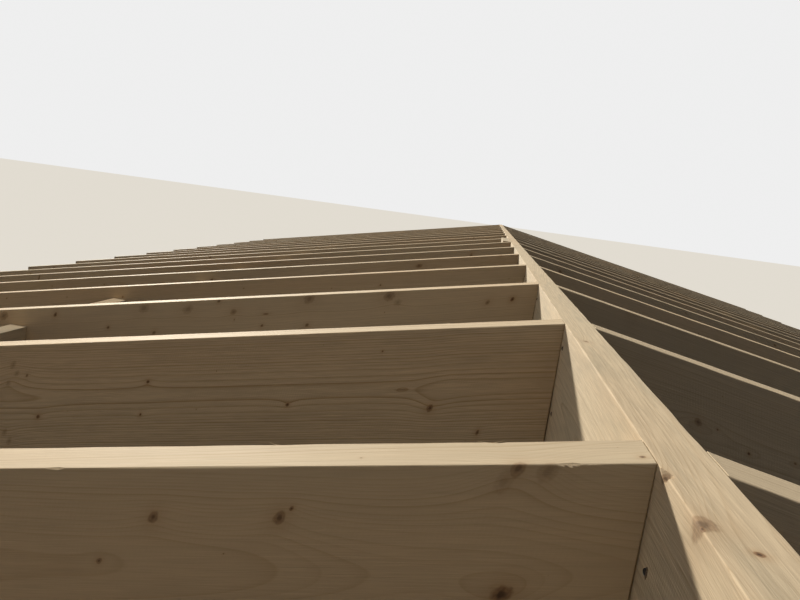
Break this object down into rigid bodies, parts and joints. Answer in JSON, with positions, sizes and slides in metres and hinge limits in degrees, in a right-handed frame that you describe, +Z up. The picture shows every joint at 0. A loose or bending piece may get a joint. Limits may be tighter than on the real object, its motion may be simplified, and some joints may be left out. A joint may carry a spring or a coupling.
{
  "type": "rafter roof frame",
  "caption": "Low-pitched timber roof frame: a ridge board with pairs of notched common rafters butted to both sides and a row of blocking between them.",
  "frame": {"origin": "on the level that the eave tails stand on, in the middle of the frame, straight under the ridge", "axes": "+X across the ridge to the right, +Y along the ridge to the rear, +Z up"},
  "size_m": [7.65, 12, 0.9895],
  "materials": {
    "rafters": "rough sawn softwood, new, with knots",
    "ridge": "rough sawn softwood, new, slightly greyed on top",
    "blocking": "rough sawn softwood, new"
  },
  "bodies": {
    "root": {"left_blocking_row": "blocking", "left_rafter_01": "rafters", "left_rafter_02": "rafters", "left_rafter_03": "rafters", "left_rafter_04": "rafters", "left_rafter_05": "rafters", "left_rafter_06": "rafters", "left_rafter_07": "rafters", "left_rafter_08": "rafters", "left_rafter_09": "rafters", "left_rafter_10": "rafters", "left_rafter_11": "rafters", "left_rafter_12": "rafters", "left_rafter_13": "rafters", "left_rafter_14": "rafters", "left_rafter_15": "rafters", "left_rafter_16": "rafters", "left_rafter_17": "rafters", "left_rafter_18": "rafters", "left_rafter_19": "rafters", "left_rafter_20": "rafters", "ridge_board_front": "ridge", "ridge_board_rear": "ridge", "ridge_splice_board": "blocking", "right_blocking_row": "blocking", "right_rafter_01": "rafters", "right_rafter_02": "rafters", "right_rafter_03": "rafters", "right_rafter_04": "rafters", "right_rafter_05": "rafters", "right_rafter_06": "rafters", "right_rafter_07": "rafters", "right_rafter_08": "rafters", "right_rafter_09": "rafters", "right_rafter_10": "rafters", "right_rafter_11": "rafters", "right_rafter_12": "rafters", "right_rafter_13": "rafters", "right_rafter_14": "rafters", "right_rafter_15": "rafters", "right_rafter_16": "rafters", "right_rafter_17": "rafters", "right_rafter_18": "rafters", "right_rafter_19": "rafters", "right_rafter_20": "rafters"}
  },
  "joints": []
}
